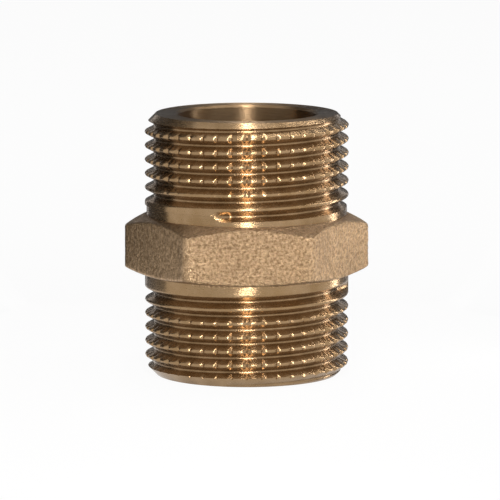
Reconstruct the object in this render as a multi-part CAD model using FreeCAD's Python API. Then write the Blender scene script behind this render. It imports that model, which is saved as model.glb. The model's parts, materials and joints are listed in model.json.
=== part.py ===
# Hex nipple, G 3/4: a brass fitting that joins two female pipe threads, in one forged and turned piece.
# The origin is the centre of the lower end face. +Z runs up the axis, and two hexagon flats face -Y and +Y.
import FreeCAD
import Part
import math
import os

# Lengths along the axis, from the lower end face to the upper one (mm)
lower_spigot_length = 13.2
collar_height = 7.6
upper_spigot_length = 13.2

# Hexagon collar. Each chamfer angle is measured from a plane square to the axis, in degrees
across_flats = 28.0
corner_radius = 1.6
lower_chamfer_angle = 15.0
upper_chamfer_angle = 27.0

# Plain neck above the collar. Below the collar, the last crest runs up to it at full diameter
upper_neck_diameter = 26.0
upper_neck_length = 1.4

# Parallel pipe thread ISO 228 G 3/4, right hand, 14 threads per inch
major_diameter = 26.441
minor_diameter = 24.117
thread_pitch = 1.814
flank_angle = 27.5  # degrees between a flank and a plane square to the axis

# Where each groove ends beside the collar: the gap to its centre line, and the bearing round the axis
# from +X in degrees. The tool leaves the metal over this share of a turn
lower_groove_gap = 1.67
lower_groove_bearing = -5.0
upper_groove_gap = 1.2
upper_groove_bearing = -112.0
runout_turns = 0.03

# Bore and end faces
bore_diameter = 18.0
bore_chamfer = 0.3
end_chamfer_depth = 1.4  # radial
end_chamfer_angle = 45.0  # degrees from the axis

# How the groove is drawn
turns_per_stretch = 0.5
points_per_stretch = 12
cutter_overlap = 0.1  # how far the groove's cutter stands out of the crests
turns_past_end = 1.5

total_length = lower_spigot_length + collar_height + upper_spigot_length
collar_bottom = lower_spigot_length
collar_top = lower_spigot_length + collar_height
major_radius = major_diameter / 2
minor_radius = minor_diameter / 2
neck_radius = upper_neck_diameter / 2
bore_radius = bore_diameter / 2
axis = FreeCAD.Vector(0, 0, 1)


def point(radius, angle, height):
    return FreeCAD.Vector(radius * math.cos(angle), radius * math.sin(angle), height)


def turned(outline):
    """A closed outline of (radius, height) points, turned about the axis."""
    corners = [FreeCAD.Vector(radius, 0, height) for radius, height in outline + outline[:1]]
    face = Part.Face(Part.makePolygon(corners))
    return face.revolve(FreeCAD.Vector(0, 0, 0), axis, 360)


def spigot_bar():
    """The plain bar that both threads are cut in, with its neck and its two end chamfers."""
    slope = end_chamfer_depth / math.tan(math.radians(end_chamfer_angle))
    face_radius = major_radius - end_chamfer_depth
    neck_top = collar_top + upper_neck_length
    return turned([
        (0, 0),
        (face_radius, 0),
        (major_radius, slope),
        (major_radius, collar_top - collar_height / 2),
        (neck_radius, collar_top - collar_height / 2),
        (neck_radius, neck_top),
        (major_radius, neck_top),
        (major_radius, total_length - slope),
        (face_radius, total_length),
        (0, total_length),
    ])


def hexagon_bar():
    """A hexagon bar as high as the collar, with rounded corners."""
    corner = across_flats / 2 / math.cos(math.radians(30))
    corners = [point(corner, math.radians(60 * n), collar_bottom) for n in range(7)]
    bar = Part.Face(Part.makePolygon(corners)).extrude(axis * collar_height)
    upright = [edge for edge in bar.Edges if edge.BoundBox.ZLength > collar_height / 2]
    return bar.makeFillet(corner_radius, upright)


def collar_blank():
    """The turned blank whose two cones cut back the corners of the hexagon bar."""
    lower_slope = math.tan(math.radians(lower_chamfer_angle))
    upper_slope = math.tan(math.radians(upper_chamfer_angle))
    rim_reach = collar_height / (lower_slope + upper_slope)
    return turned([
        (0, collar_bottom),
        (major_radius, collar_bottom),
        (major_radius + rim_reach, collar_bottom + rim_reach * lower_slope),
        (major_radius, collar_top),
        (0, collar_top),
    ])


def bore_cutter():
    """The straight bore with a small chamfer at each mouth."""
    mouth = bore_radius + bore_chamfer
    return turned([
        (0, -bore_chamfer),
        (mouth + bore_chamfer, -bore_chamfer),
        (bore_radius, bore_chamfer),
        (bore_radius, total_length - bore_chamfer),
        (mouth + bore_chamfer, total_length + bore_chamfer),
        (0, total_length + bore_chamfer),
    ])


def groove_section(turn, last_height, bearing, direction):
    """The groove's four corners, this many turns on from its end beside the collar."""
    slope = math.tan(math.radians(flank_angle))
    outer_radius = major_radius + cutter_overlap
    start_radius = major_radius + cutter_overlap / 2
    depth_share = min(1, turn / runout_turns)
    root_radius = start_radius - depth_share * (start_radius - minor_radius)
    half_root = thread_pitch / 12
    half_mouth = half_root + (outer_radius - root_radius) * slope
    angle = math.radians(bearing) + direction * 2 * math.pi * turn
    height = last_height + direction * thread_pitch * turn
    return [
        point(root_radius, angle, height - half_root),
        point(root_radius, angle, height + half_root),
        point(outer_radius, angle, height + half_mouth),
        point(outer_radius, angle, height - half_mouth),
    ]


def groove_curve(corner, first_turn, last_turn, place):
    """The curve that one corner of the section follows over one stretch, with its true end directions."""
    step = (last_turn - first_turn) / points_per_stretch
    nudge = step / 1000
    points = [groove_section(first_turn + n * step, *place)[corner] for n in range(points_per_stretch + 1)]
    leaving = groove_section(first_turn + nudge, *place)[corner] - points[0]
    arriving = points[-1] - groove_section(last_turn - nudge, *place)[corner]
    curve = Part.BSplineCurve()
    curve.interpolate(
        Points=points,
        Parameters=[float(n) for n in range(len(points))],
        InitialTangent=leaving * (step / nudge),
        FinalTangent=arriving * (step / nudge),
        Scale=False,
    )
    return curve.toShape()


def groove_cutter(last_height, bearing, direction):
    """One helical groove. It starts at last_height and a bearing, beside the collar, and leaves the bar
    through the end face that lies in the given direction, 1 for up and -1 for down."""
    place = (last_height, bearing, direction)
    end_height = total_length if direction > 0 else 0
    turns = abs(end_height - last_height) / thread_pitch + turns_past_end
    stretches = math.ceil((turns - runout_turns) / turns_per_stretch)
    joints = [0] + [runout_turns + n * turns_per_stretch for n in range(stretches + 1)]
    faces = []
    for first_turn, last_turn in zip(joints, joints[1:]):
        curves = [groove_curve(corner, first_turn, last_turn, place) for corner in range(4)]
        faces += [Part.makeRuledSurface(curves[k], curves[(k + 1) % 4]) for k in range(4)]
    for turn in (joints[0], joints[-1]):
        corners = groove_section(turn, *place)
        faces.append(Part.Face(Part.makePolygon(corners + corners[:1])))
    shell = Part.makeShell(faces)
    shell.sewShape()
    cutter = Part.Solid(Part.Shell(shell.Faces))
    if cutter.Volume < 0:
        cutter.reverse()
    return cutter


def nipple():
    body = spigot_bar().fuse(hexagon_bar().common(collar_blank()))
    body = body.cut(groove_cutter(collar_bottom - lower_groove_gap, lower_groove_bearing, -1))
    body = body.cut(groove_cutter(collar_top + upper_groove_gap, upper_groove_bearing, 1))
    return body.cut(bore_cutter()).removeSplitter()


os.makedirs("parts", exist_ok=True)
nipple().exportStep("parts/nipple_body.step")
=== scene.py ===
import json
import math

import bpy
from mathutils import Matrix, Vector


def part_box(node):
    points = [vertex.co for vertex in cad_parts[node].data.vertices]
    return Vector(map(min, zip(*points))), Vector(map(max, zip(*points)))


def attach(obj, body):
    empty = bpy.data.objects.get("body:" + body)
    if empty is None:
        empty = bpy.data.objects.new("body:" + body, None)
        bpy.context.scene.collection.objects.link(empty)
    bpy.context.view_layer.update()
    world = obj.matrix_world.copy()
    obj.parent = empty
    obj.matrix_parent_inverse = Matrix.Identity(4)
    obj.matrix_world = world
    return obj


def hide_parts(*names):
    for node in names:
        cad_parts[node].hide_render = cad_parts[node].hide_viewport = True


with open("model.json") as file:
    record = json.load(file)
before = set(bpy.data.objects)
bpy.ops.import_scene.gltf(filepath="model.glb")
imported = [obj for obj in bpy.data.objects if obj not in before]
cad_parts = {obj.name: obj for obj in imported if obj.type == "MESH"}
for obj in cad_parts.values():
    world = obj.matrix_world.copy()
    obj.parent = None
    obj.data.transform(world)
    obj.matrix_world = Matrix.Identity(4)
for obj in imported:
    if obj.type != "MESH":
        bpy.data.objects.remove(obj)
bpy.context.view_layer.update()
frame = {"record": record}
lowCorner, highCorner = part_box("nipple_body")
mounts = {mount["name"]: mount for mount in frame["record"]["mounts"]}

# the shapes are modelled in millimetres and made metres when the body is finished
mm = 0.001
bodyLength = (highCorner.z - lowCorner.z) / mm
acrossFlats = (highCorner.y - lowCorner.y) / mm
threadRadius = mounts["upper_thread"]["dims"]["r_mm"]
boreRadius = mounts["through_bore"]["dims"]["r_mm"]


def selectNothing():
    if bpy.context.object and bpy.context.object.mode == "EDIT":
        bpy.ops.object.mode_set(mode="OBJECT")
    bpy.ops.object.select_all(action="DESELECT")


def pickObject(thing):
    selectNothing()
    thing.select_set(True)
    bpy.context.view_layer.objects.active = thing


def applyModifier(thing, modifier):
    pickObject(thing)
    bpy.ops.object.modifier_apply(modifier=modifier.name)


def drawOutline(name, outline):
    # one vertex, extruded from point to point of the outline, which lies in the XZ plane
    selectNothing()
    bpy.ops.mesh.primitive_plane_add(size=1)
    thing = bpy.context.object
    thing.name = name
    bpy.ops.object.mode_set(mode="EDIT")
    bpy.ops.mesh.select_mode(type="VERT")
    bpy.ops.mesh.select_all(action="SELECT")
    bpy.ops.mesh.merge(type="CENTER")
    bpy.ops.transform.translate(value=(outline[0][0], 0, outline[0][1]))
    for (fromX, fromZ), (toX, toZ) in zip(outline, outline[1:]):
        step = (toX - fromX, 0, toZ - fromZ)
        bpy.ops.mesh.extrude_region_move(TRANSFORM_OT_translate={"value": step})
    bpy.ops.object.mode_set(mode="OBJECT")
    return thing


def sweepOutline(thing, columns, offset=0.0, turns=1):
    screw = thing.modifiers.new("sweep", "SCREW")
    screw.axis = "Z"
    screw.angle = math.tau
    screw.screw_offset = offset
    screw.iterations = turns
    screw.steps = columns
    screw.render_steps = columns
    screw.use_merge_vertices = False
    applyModifier(thing, screw)


def weldAndFace(thing):
    pickObject(thing)
    bpy.ops.object.mode_set(mode="EDIT")
    bpy.ops.mesh.select_all(action="SELECT")
    bpy.ops.mesh.remove_doubles(threshold=0.0005)
    bpy.ops.mesh.normals_make_consistent(inside=False)
    bpy.ops.object.mode_set(mode="OBJECT")


def turnedSolid(name, outline, columns):
    # the outline starts and ends on the axis
    thing = drawOutline(name, outline)
    sweepOutline(thing, columns)
    weldAndFace(thing)
    return thing


def combine(thing, other, operation):
    boolean = thing.modifiers.new("join", "BOOLEAN")
    boolean.operation = operation
    boolean.solver = "EXACT"
    boolean.object = other
    applyModifier(thing, boolean)
    bpy.data.objects.remove(other)


def cutLevel(thing, height, keepAbove):
    pickObject(thing)
    bpy.ops.object.mode_set(mode="EDIT")
    bpy.ops.mesh.select_all(action="SELECT")
    bpy.ops.mesh.bisect(
        plane_co=(0, 0, height),
        plane_no=(0, 0, 1),
        use_fill=True,
        clear_inner=keepAbove,
        clear_outer=not keepAbove,
        threshold=0.00001,
    )
    bpy.ops.object.mode_set(mode="OBJECT")


spigotSizes = {
    "pitch": 1.814,
    "flankAngle": 27.5,
    "roundingShare": 0.137329,
    "depthShare": 0.640327,
    "columns": 336,
    "length": 13.2,
    "endChamfer": 1.4,
    "neckRadius": 13.0,
    "neckLength": 1.4,
    "runoutTurns": 0.03,
    "lowerGroove": {"gap": 1.67, "bearing": -5.0},
    "upperGroove": {"gap": 1.2, "bearing": -112.0},
}

nickSizes = {
    "perTurn": 42,
    "firstColumn": 3,
    "depth": 0.34,
    "shoulderShare": 0.35,
    "fullReach": 7.8,
    "fadeReach": 10.0,
}


def threadOutline():
    # one pitch from root to root, with the crest in the middle at height 0
    sizes = spigotSizes
    pitch = sizes["pitch"]
    rounding = sizes["roundingShare"] * pitch
    rootRadius = threadRadius - sizes["depthShare"] * pitch
    steepest = math.radians(90 - sizes["flankAngle"])
    crest = []
    root = []
    for share in (-1, -0.5, 0, 0.5, 1):
        lean = share * steepest
        crest.append((threadRadius - rounding * (1 - math.cos(lean)), rounding * math.sin(lean)))
    for share in (0, 0.5, 1):
        lean = share * steepest
        root.append((rootRadius + rounding * (1 - math.cos(lean)), rounding * math.sin(lean)))
    rise = [(radius, height - pitch / 2) for radius, height in root]
    fall = [(radius, pitch / 2 - height) for radius, height in reversed(root)]
    return rise + crest + fall


def grooveTurn(spot, end, direction):
    # which turn of the groove a point is nearest to, counted from the groove's end beside the collar
    pitch = spigotSizes["pitch"]
    swept = (math.atan2(spot.y, spot.x) - end["angle"]) / math.tau * direction
    share = swept % 1
    nearest = round((spot.z - end["height"]) * direction / pitch - share)
    return share + nearest


def weigh(thing, name, weights):
    group = thing.vertex_groups.new(name=name)
    for index, weight in weights.items():
        group.add([index], weight, "REPLACE")
    return group


def castRound(thing, group, radius):
    # brings the weighed vertices in or out to a cylinder of this radius
    cast = thing.modifiers.new(group.name, "CAST")
    cast.cast_type = "CYLINDER"
    cast.use_x = True
    cast.use_y = True
    cast.use_z = False
    cast.factor = 1
    cast.use_radius_as_size = False
    cast.size = radius
    cast.vertex_group = group.name
    applyModifier(thing, cast)


def threadedBar(name, end, direction):
    sizes = spigotSizes
    pitch = sizes["pitch"]
    faceHeight = bodyLength if direction > 0 else 0
    collarSide = end["height"] - direction * end["gap"]
    turns = math.ceil(abs(faceHeight - collarSide) / pitch) + 5
    bar = drawOutline(name, threadOutline())
    sweepOutline(bar, sizes["columns"], offset=pitch, turns=turns)
    # the outline's crest starts at bearing 0 and height 0: bring a root to the groove's own height there
    rootAtZero = end["height"] - end["angle"] / math.tau * pitch + pitch / 2
    start = rootAtZero + pitch * round((min(faceHeight, collarSide) - rootAtZero) / pitch - 2.5)
    pickObject(bar)
    bpy.ops.object.mode_set(mode="EDIT")
    bpy.ops.mesh.select_all(action="SELECT")
    bpy.ops.transform.translate(value=(0, 0, start))
    bpy.ops.mesh.remove_doubles(threshold=0.0005)
    bpy.ops.object.mode_set(mode="OBJECT")
    fill = {}
    nick = {}
    nickFloor = threadRadius - nickSizes["depth"]
    columnsPerNick = sizes["columns"] // nickSizes["perTurn"]
    for vertex in bar.data.vertices:
        spot = vertex.co
        turn = grooveTurn(spot, end, direction)
        if turn < sizes["runoutTurns"]:
            fill[vertex.index] = min(1, 1 - turn / sizes["runoutTurns"])
            continue
        if math.hypot(spot.x, spot.y) < nickFloor:
            continue
        column = round(math.atan2(spot.y, spot.x) / math.tau * sizes["columns"]) - nickSizes["firstColumn"]
        column %= columnsPerNick
        shoulder = nickSizes["shoulderShare"]
        depth = {0: 1, 1: shoulder, columnsPerNick - 1: shoulder}.get(column, 0)
        reach = abs(spot.z - faceHeight)
        fade = (nickSizes["fadeReach"] - reach) / (nickSizes["fadeReach"] - nickSizes["fullReach"])
        if depth and fade > 0:
            nick[vertex.index] = depth * min(1, fade)
    filled = weigh(bar, "filledGroove", fill)
    nicked = weigh(bar, "nicks", nick)
    castRound(bar, filled, threadRadius)
    castRound(bar, nicked, nickFloor)
    cutLevel(bar, faceHeight + direction * pitch / 2, direction < 0)
    cutLevel(bar, collarSide - direction * collarSizes["overlap"], direction > 0)
    weldAndFace(bar)
    return bar


def spigotBlank(name, faceHeight, direction):
    # turned blank of a spigot: plain neck beside the collar (upper one only) and a chamfer at the end
    sizes = spigotSizes
    clear = threadRadius + 0.5
    faceRadius = threadRadius - sizes["endChamfer"]
    coneStart = faceHeight - direction * (clear - faceRadius)
    inner = faceHeight - direction * (sizes["length"] + collarSizes["overlap"] + 1)
    outline = [(0, faceHeight), (faceRadius, faceHeight), (clear, coneStart)]
    if direction > 0:
        neckTop = faceHeight - sizes["length"] + sizes["neckLength"]
        outline += [(clear, neckTop), (sizes["neckRadius"], neckTop), (sizes["neckRadius"], inner)]
    else:
        outline += [(clear, inner)]
    outline += [(0, inner)]
    return turnedSolid(name, outline, sizes["columns"])


def spigot(side, direction):
    sizes = spigotSizes
    place = sizes[side + "Groove"]
    faceHeight = bodyLength if direction > 0 else 0
    collarSide = faceHeight - direction * sizes["length"]
    end = {
        "height": collarSide + direction * place["gap"],
        "angle": math.radians(place["bearing"]),
        "gap": place["gap"],
    }
    bar = threadedBar(side + "Spigot", end, direction)
    combine(bar, spigotBlank(side + "Blank", faceHeight, direction), "INTERSECT")
    print(side, "spigot has", len(bar.data.polygons), "faces")
    return bar


collarSizes = {
    "height": 7.6,
    "cornerRadius": 1.6,
    "cornerSegments": 8,
    "lowerChamfer": 15.0,
    "upperChamfer": 27.0,
    "columns": 168,
    "grid": 0.17,
    "softenSteps": 10,
    "skin": 0.04,
    "dentDepth": 0.13,
    "dentSize": 0.5,
    "overlap": 2.3,
    "boreAllowance": 1.0,
}


def hexCollar():
    sizes = collarSizes
    height = sizes["height"]
    bottom = spigotSizes["length"]
    corner = (acrossFlats / 2 - sizes["skin"]) / math.cos(math.radians(30))
    selectNothing()
    bpy.ops.mesh.primitive_cylinder_add(vertices=6, radius=corner, depth=height)
    collar = bpy.context.object
    collar.name = "hexCollar"
    bpy.ops.object.mode_set(mode="EDIT")
    bpy.ops.mesh.select_all(action="SELECT")
    bpy.ops.transform.rotate(value=math.radians(30), orient_axis="Z", center_override=(0, 0, 0))
    bpy.ops.transform.translate(value=(0, 0, bottom + height / 2))
    bpy.ops.mesh.select_mode(type="EDGE")
    bpy.ops.mesh.select_all(action="DESELECT")
    bpy.ops.object.mode_set(mode="OBJECT")
    for edge in collar.data.edges:
        first, second = (collar.data.vertices[index].co for index in edge.vertices)
        edge.select = abs(first.z - second.z) > height / 2
    bpy.ops.object.mode_set(mode="EDIT")
    bpy.ops.mesh.bevel(
        offset=sizes["cornerRadius"] * math.tan(math.radians(30)),
        segments=sizes["cornerSegments"],
        profile=0.5,
        affect="EDGES",
    )
    bpy.ops.object.mode_set(mode="OBJECT")
    low = math.tan(math.radians(sizes["lowerChamfer"]))
    high = math.tan(math.radians(sizes["upperChamfer"]))
    reach = height / (low + high)
    top = bottom + height
    # the cones start at the thread's own radius
    rim = (threadRadius + reach, bottom + reach * low)
    outline = [(0, bottom), (threadRadius, bottom), rim, (threadRadius, top), (0, top)]
    combine(collar, turnedSolid("collarBlank", outline, sizes["columns"]), "INTERSECT")
    # a rough hole, smaller than the bore that is cut through the whole body later
    hole = boreRadius - sizes["boreAllowance"]
    outline = [(0, 0), (hole, 0), (hole, bodyLength), (0, bodyLength)]
    combine(collar, turnedSolid("collarHole", outline, sizes["columns"]), "DIFFERENCE")
    print("collar is cut to shape")
    remesh = collar.modifiers.new("evenSkin", "REMESH")
    remesh.mode = "VOXEL"
    remesh.voxel_size = sizes["grid"]
    applyModifier(collar, remesh)
    soften = collar.modifiers.new("blastedEdges", "SMOOTH")
    soften.factor = 0.5
    soften.iterations = sizes["softenSteps"]
    applyModifier(collar, soften)
    # the dents only ever go inwards, so the flats stay the real size
    flats = {}
    for vertex in collar.data.vertices:
        outwards = math.hypot(vertex.normal.x, vertex.normal.y)
        if math.hypot(vertex.co.x, vertex.co.y) > boreRadius + 2 and outwards > 0.5:
            worn = min(1, max(0.25, (vertex.co.x + 9) / 3))
            flats[vertex.index] = worn * min(1, (outwards - 0.5) * 2.5)
    weigh(collar, "flats", flats)
    dents = bpy.data.textures.new("dents", "CLOUDS")
    dents.noise_scale = sizes["dentSize"]
    dents.noise_depth = 1
    dents.contrast = 1.6
    relief = collar.modifiers.new("blastedRelief", "DISPLACE")
    relief.texture = dents
    relief.texture_coords = "LOCAL"
    relief.direction = "NORMAL"
    relief.mid_level = 1
    relief.strength = sizes["dentDepth"]
    relief.vertex_group = "flats"
    applyModifier(collar, relief)
    print("collar has", len(collar.data.polygons), "faces")
    return collar


boreSizes = {
    "columns": 168,
    "mouthChamfer": 0.3,
}


def nippleBody():
    body = spigot("lower", -1)
    combine(body, hexCollar(), "UNION")
    combine(body, spigot("upper", 1), "UNION")
    mouth = boreRadius + boreSizes["mouthChamfer"]
    slope = boreSizes["mouthChamfer"]
    outline = [
        (0, -slope),
        (mouth + slope, -slope),
        (boreRadius, slope),
        (boreRadius, bodyLength - slope),
        (mouth + slope, bodyLength + slope),
        (0, bodyLength + slope),
    ]
    combine(body, turnedSolid("boreCutter", outline, boreSizes["columns"]), "DIFFERENCE")
    weldAndFace(body)
    body.name = "nippleBody"
    print("body has", len(body.data.polygons), "faces")
    return body


class Tree:
    # a material's node tree, with short ways to add and join nodes
    def __init__(self, name):
        self.material = bpy.data.materials.new(name)
        self.material.use_nodes = True
        self.nodes = self.material.node_tree.nodes
        self.links = self.material.node_tree.links
        self.shader = self.nodes["Principled BSDF"]
        place = self.add("ShaderNodeTexCoord").outputs["Object"]
        self.place = self.vector("SCALE", place, scale=1 / mm)
        self.radius = self.vector("LENGTH", self.vector("MULTIPLY", self.place, (1, 1, 0)), out="Value")

    def add(self, kind, **settings):
        node = self.nodes.new(kind)
        for name, value in settings.items():
            setattr(node, name, value)
        return node

    def feed(self, socket, value):
        if isinstance(value, bpy.types.NodeSocket):
            self.links.new(value, socket)
        else:
            socket.default_value = value

    def vector(self, operation, first, second=None, scale=None, out="Vector"):
        node = self.add("ShaderNodeVectorMath", operation=operation)
        self.feed(node.inputs[0], first)
        if second is not None:
            self.feed(node.inputs[1], second)
        if scale is not None:
            node.inputs["Scale"].default_value = scale
        return node.outputs[out]

    def math(self, operation, first, second=0.0, third=0.0):
        node = self.add("ShaderNodeMath", operation=operation)
        for socket, value in zip(node.inputs, (first, second, third)):
            self.feed(socket, value)
        return node.outputs[0]

    def noise(self, stretch, scale, detail=2.0, roughness=0.5):
        node = self.add("ShaderNodeTexNoise")
        self.feed(node.inputs["Vector"], self.vector("MULTIPLY", self.place, stretch))
        node.inputs["Scale"].default_value = scale
        node.inputs["Detail"].default_value = detail
        node.inputs["Roughness"].default_value = roughness
        return node.outputs["Fac"]

    def spread(self, value, fromLow, fromHigh, toLow=0.0, toHigh=1.0):
        node = self.add("ShaderNodeMapRange")
        for socket, number in zip(node.inputs, (value, fromLow, fromHigh, toLow, toHigh)):
            self.feed(socket, number)
        return node.outputs["Result"]

    def blend(self, share, first, second):
        node = self.add("ShaderNodeMix", data_type="RGBA")
        self.feed(node.inputs["Factor"], share)
        colourInputs = [socket for socket in node.inputs if socket.type == "RGBA"]
        self.feed(colourInputs[0], first)
        self.feed(colourInputs[1], second)
        return [socket for socket in node.outputs if socket.type == "RGBA"][0]

    def brush(self, across):
        # turned lines spread a reflection across themselves, and hardly along themselves
        self.shader.inputs["Anisotropic"].default_value = finishSizes["brushing"]
        if isinstance(across, tuple):
            across = self.vector("ADD", self.vector("MULTIPLY", self.place, (0, 0, 0)), across)
        self.feed(self.shader.inputs["Tangent"], self.vector("NORMALIZE", across))

    def bump(self, height, distance, strength=1.0):
        node = self.add("ShaderNodeBump")
        node.inputs["Strength"].default_value = strength
        node.inputs["Distance"].default_value = distance
        self.feed(node.inputs["Height"], height)
        self.feed(self.shader.inputs["Normal"], node.outputs["Normal"])


finishSizes = {
    "cleanBrass": (0.37, 0.245, 0.135, 1),
    "warmBrass": (0.31, 0.195, 0.095, 1),
    # tarnish colour, which also paints the shade on the collar's cones
    "tarnish": (0.14, 0.09, 0.05, 1),
    # the grain's low and high colours: its own tone, with painted shade in the low spots and painted glints
    # on the high spots
    "hollows": (0.29, 0.18, 0.09, 1),
    "peaks": (0.66, 0.45, 0.265, 1),
    "faceStain": 0.85,
    "boreStain": 0.6,
    "brushing": 0.9,
}


def turnedBrass():
    tree = Tree("turnedBrass")
    lines = tree.noise((0.12, 0.12, 1), 9, detail=3, roughness=0.6)
    patches = tree.noise((1, 1, 1), 0.35, detail=4, roughness=0.6)
    depth = tree.spread(tree.radius, 12.2, 13.1, 1.0, 0.0)
    stain = tree.math("MULTIPLY", depth, tree.spread(patches, 0.3, 0.7, 0.1, 0.5))
    metal = tree.blend(tree.spread(patches, 0.35, 0.65), finishSizes["cleanBrass"], finishSizes["warmBrass"])
    tree.feed(tree.shader.inputs["Base Color"], tree.blend(stain, metal, finishSizes["tarnish"]))
    tree.feed(tree.shader.inputs["Roughness"], tree.spread(lines, 0.3, 0.7, 0.21, 0.31))
    tree.shader.inputs["Metallic"].default_value = 1
    tree.brush((0, 0, 1))
    tree.bump(lines, 0.00002)
    return tree.material


def blastedBrass():
    tree = Tree("blastedBrass")
    grain = tree.noise((1, 1, 1), 2.6, detail=3, roughness=0.65)
    fine = tree.noise((1, 1, 1), 6, detail=2, roughness=0.6)
    patches = tree.noise((1, 1, 1), 0.25, detail=3)
    # painted glints and painted shade: the colour follows the same grain as the bump, much brighter on its
    # high spots and darker in its low spots, over the grain's own tone
    metal = tree.blend(tree.spread(grain, 0.36, 0.64), finishSizes["hollows"], finishSizes["peaks"])
    # painted shade: the cones above and below the flats are painted darker the more their faces point up or
    # down, over random patches of tarnish
    facing = tree.add("ShaderNodeSeparateXYZ")
    tree.feed(facing.inputs[0], tree.add("ShaderNodeNewGeometry").outputs["Normal"])
    paintedSlopeShade = tree.spread(tree.math("ABSOLUTE", facing.outputs["Z"]), 0.35, 0.8, 0.0, 0.6)
    shade = tree.math("MAXIMUM", tree.math("MULTIPLY", tree.spread(patches, 0.4, 0.75), 0.2), paintedSlopeShade)
    tree.feed(tree.shader.inputs["Base Color"], tree.blend(shade, metal, finishSizes["tarnish"]))
    tree.feed(tree.shader.inputs["Roughness"], tree.spread(fine, 0.3, 0.7, 0.28, 0.44))
    tree.shader.inputs["Metallic"].default_value = 1
    # the flats on the -X side are worn smoother
    split = tree.add("ShaderNodeSeparateXYZ")
    tree.feed(split.inputs[0], tree.place)
    wear = tree.spread(split.outputs["X"], -9.0, -6.5, 0.15, 1.0)
    tree.bump(tree.math("MULTIPLY", tree.math("ADD", grain, tree.math("MULTIPLY", fine, 0.5)), wear), 0.0004)
    return tree.material


def boreBrass():
    tree = Tree("boreBrass")
    lines = tree.noise((0.1, 0.1, 1), 6, detail=3, roughness=0.6)
    patches = tree.noise((1, 1, 1), 0.3, detail=3)
    metal = tree.blend(tree.spread(patches, 0.35, 0.65), finishSizes["cleanBrass"], finishSizes["warmBrass"])
    # the whole bore is blended well towards the dark colour
    tree.feed(
        tree.shader.inputs["Base Color"],
        tree.blend(finishSizes["boreStain"], metal, finishSizes["tarnish"]),
    )
    tree.feed(tree.shader.inputs["Roughness"], tree.spread(lines, 0.3, 0.7, 0.28, 0.42))
    tree.shader.inputs["Metallic"].default_value = 1
    tree.brush((0, 0, 1))
    tree.bump(lines, 0.00003)
    return tree.material


def facedBrass():
    # rings left by the facing tool
    tree = Tree("facedBrass")
    rings = tree.math("SINE", tree.math("MULTIPLY", tree.radius, 40))
    patches = tree.noise((1, 1, 1), 0.5, detail=3)
    metal = tree.blend(tree.spread(patches, 0.35, 0.65), finishSizes["cleanBrass"], finishSizes["warmBrass"])
    # the end faces are blended far towards the dark colour, a little unevenly
    stain = tree.math("MULTIPLY", tree.spread(patches, 0.3, 0.7, 0.7, 1.0), finishSizes["faceStain"])
    tree.feed(tree.shader.inputs["Base Color"], tree.blend(stain, metal, finishSizes["tarnish"]))
    tree.feed(tree.shader.inputs["Roughness"], tree.spread(patches, 0.3, 0.7, 0.28, 0.4))
    tree.shader.inputs["Metallic"].default_value = 1
    tree.brush(tree.vector("MULTIPLY", tree.place, (1, 1, 0)))
    tree.bump(rings, 0.000004)
    return tree.material


def paint(body):
    for material in (turnedBrass(), blastedBrass(), boreBrass(), facedBrass()):
        body.data.materials.append(material)
    low = spigotSizes["length"]
    high = low + collarSizes["height"]
    for face in body.data.polygons:
        centre = face.center
        radius = math.hypot(centre.x, centre.y)
        upright = abs(face.normal.z)
        insideCollar = low - 0.05 < centre.z < high + 0.05
        if radius < boreRadius + boreSizes["mouthChamfer"] + 0.1 and upright < 0.9:
            face.material_index = 2
        elif 0.6 < upright and min(centre.z, bodyLength - centre.z) < 0.01:
            face.material_index = 3
        elif insideCollar and radius > threadRadius - 0.3:
            face.material_index = 1


def finishBody(body):
    pickObject(body)
    bpy.ops.object.mode_set(mode="EDIT")
    bpy.ops.mesh.select_all(action="SELECT")
    bpy.ops.transform.resize(value=(mm, mm, mm), center_override=(0, 0, 0))
    bpy.ops.object.mode_set(mode="OBJECT")
    bpy.ops.object.shade_smooth_by_angle(angle=math.radians(40))


stageSizes = {
    "floor": 3.0,
    "floorColour": (0.8, 0.79, 0.77, 1),
    "whiteShare": 0.95,
    "roomLight": (0.13, 0.125, 0.13, 1),
}


def whitened(tree, natural, target, socket):
    # the pale background is white to the camera, and the metal mirrors the same white
    path = tree.nodes.new("ShaderNodeLightPath")
    seen = path.outputs["Is Camera Ray"]
    for ray in ("Is Glossy Ray", "Is Transmission Ray"):
        either = tree.nodes.new("ShaderNodeMath")
        either.operation = "MAXIMUM"
        tree.links.new(seen, either.inputs[0])
        tree.links.new(path.outputs[ray], either.inputs[1])
        seen = either.outputs[0]
    share = tree.nodes.new("ShaderNodeMath")
    share.operation = "MULTIPLY"
    share.inputs[1].default_value = stageSizes["whiteShare"]
    tree.links.new(seen, share.inputs[0])
    white = tree.nodes.new("ShaderNodeBackground" if socket == "Background" else "ShaderNodeEmission")
    white.inputs["Color"].default_value = (1, 1, 1, 1)
    white.inputs["Strength"].default_value = 1
    mix = tree.nodes.new("ShaderNodeMixShader")
    tree.links.new(share.outputs[0], mix.inputs["Fac"])
    tree.links.new(natural.outputs[0], mix.inputs[1])
    tree.links.new(white.outputs[0], mix.inputs[2])
    tree.links.new(mix.outputs[0], target.inputs["Surface"])


def makeStage():
    selectNothing()
    bpy.ops.mesh.primitive_plane_add(size=stageSizes["floor"])
    floor = bpy.context.object
    floor.name = "floor"
    material = bpy.data.materials.new("paleFloor")
    material.use_nodes = True
    tree = material.node_tree
    shader = tree.nodes["Principled BSDF"]
    shader.inputs["Base Color"].default_value = stageSizes["floorColour"]
    shader.inputs["Roughness"].default_value = 0.9
    whitened(tree, shader, tree.nodes["Material Output"], "Emission")
    floor.data.materials.append(material)
    world = bpy.data.worlds.new("room")
    bpy.context.scene.world = world
    world.use_nodes = True
    tree = world.node_tree
    room = tree.nodes["Background"]
    room.inputs["Color"].default_value = stageSizes["roomLight"]
    room.inputs["Strength"].default_value = 1
    whitened(tree, room, tree.nodes["World Output"], "Background")


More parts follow.
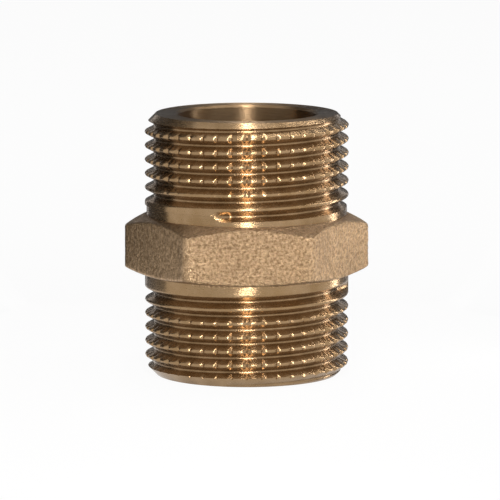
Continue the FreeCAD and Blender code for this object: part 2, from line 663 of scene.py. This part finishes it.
def addPanel(name, azimuth, distance, low, high, width, level):
    # an upright panel round the object: azimuth in degrees from the front towards +X, level is its brightness
    lamp = bpy.data.lights.new(name, "AREA")
    lamp.shape = "RECTANGLE"
    lamp.size = width
    lamp.size_y = high - low
    lamp.energy = level * math.pi * width * (high - low)
    panel = bpy.data.objects.new(name, lamp)
    bpy.context.scene.collection.objects.link(panel)
    turn = math.radians(azimuth)
    panel.location = (distance * math.sin(turn), -distance * math.cos(turn), (low + high) / 2)
    panel.rotation_euler = (math.radians(90), 0, turn)
    panel.visible_camera = False
    return panel


def addOverhead(name, azimuth, height, near, far, width, level):
    # a level panel above the object, long in one direction: it runs from near to far along that azimuth
    lamp = bpy.data.lights.new(name, "AREA")
    lamp.shape = "RECTANGLE"
    lamp.size = width
    lamp.size_y = far - near
    lamp.energy = level * math.pi * width * (far - near)
    panel = bpy.data.objects.new(name, lamp)
    bpy.context.scene.collection.objects.link(panel)
    turn = math.radians(azimuth)
    middle = (near + far) / 2
    panel.location = (middle * math.sin(turn), -middle * math.cos(turn), height)
    panel.rotation_euler = (0, 0, turn)
    panel.visible_camera = False
    return panel


def addCard(name, azimuth, distance, height, width, shade):
    # an upright grey card close to the object, which the metal mirrors
    selectNothing()
    bpy.ops.mesh.primitive_plane_add(size=1)
    card = bpy.context.object
    card.name = name
    turn = math.radians(azimuth)
    card.scale = (width, height, 1)
    card.rotation_euler = (math.radians(90), 0, turn)
    card.location = (distance * math.sin(turn), -distance * math.cos(turn), height / 2)
    card.visible_camera = False
    material = bpy.data.materials.new(name)
    material.use_nodes = True
    shader = material.node_tree.nodes["Principled BSDF"]
    shader.inputs["Base Color"].default_value = (shade, shade, shade, 1)
    shader.inputs["Roughness"].default_value = 0.9
    card.data.materials.append(material)


cameraSizes = {
    "elevation": 8.05,
    "azimuth": -1.2,
    "distance": 0.63,
    "aimHeight": 0.0175,
    "lens": 349.0,
    "shift": (0.0066, -0.022),
}


def addCamera():
    lens = bpy.data.cameras.new("camera")
    lens.lens = cameraSizes["lens"]
    lens.sensor_width = 36
    lens.clip_start = 0.01
    lens.shift_x, lens.shift_y = cameraSizes["shift"]
    camera = bpy.data.objects.new("camera", lens)
    bpy.context.scene.collection.objects.link(camera)
    rise = math.radians(cameraSizes["elevation"])
    turn = math.radians(cameraSizes["azimuth"])
    level = cameraSizes["distance"] * math.cos(rise)
    height = cameraSizes["aimHeight"] + cameraSizes["distance"] * math.sin(rise)
    camera.location = (level * math.sin(turn), -level * math.cos(turn), height)
    camera.rotation_euler = (math.radians(90) - rise, 0, turn)
    bpy.context.scene.camera = camera


body = nippleBody()
paint(body)
finishBody(body)
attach(body, "root")
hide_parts("nipple_body")
print("body is painted")

makeStage()
addPanel("frontStrip", cameraSizes["azimuth"], 0.12, 0.0, 0.25, 0.007, 36.0)
addPanel("rightStrip", 104, 0.045, 0.0, 0.12, 0.0025, 16.0)
addPanel("rightPanel", 44, 0.4, 0.0, 0.35, 0.3, 0.36)
addPanel("frontPanel", cameraSizes["azimuth"], 0.5, 0.0, 0.4, 0.1, 3.4)
addPanel("sidePanel", 112, 0.4, 0.0, 0.35, 0.25, 0.55)
addOverhead("longStrip", cameraSizes["azimuth"], 0.25, -0.4, 0.12, 0.007, 36.0)
addOverhead("rightLongStrip", 105, 0.2, 0.02, 0.1, 0.005, 16.0)
addOverhead("overhead", 180, 0.6, 0.2, 0.7, 0.5, 0.4)
addCard("leftCard", -122, 0.055, 0.12, 0.055, 0.1)
addCard("rightCard", 124, 0.055, 0.12, 0.05, 0.3)
addCard("backCard", 180, 0.06, 0.1, 0.06, 0.12)
addCamera()
bpy.context.scene.view_settings.view_transform = "Standard"
print("stage is set")
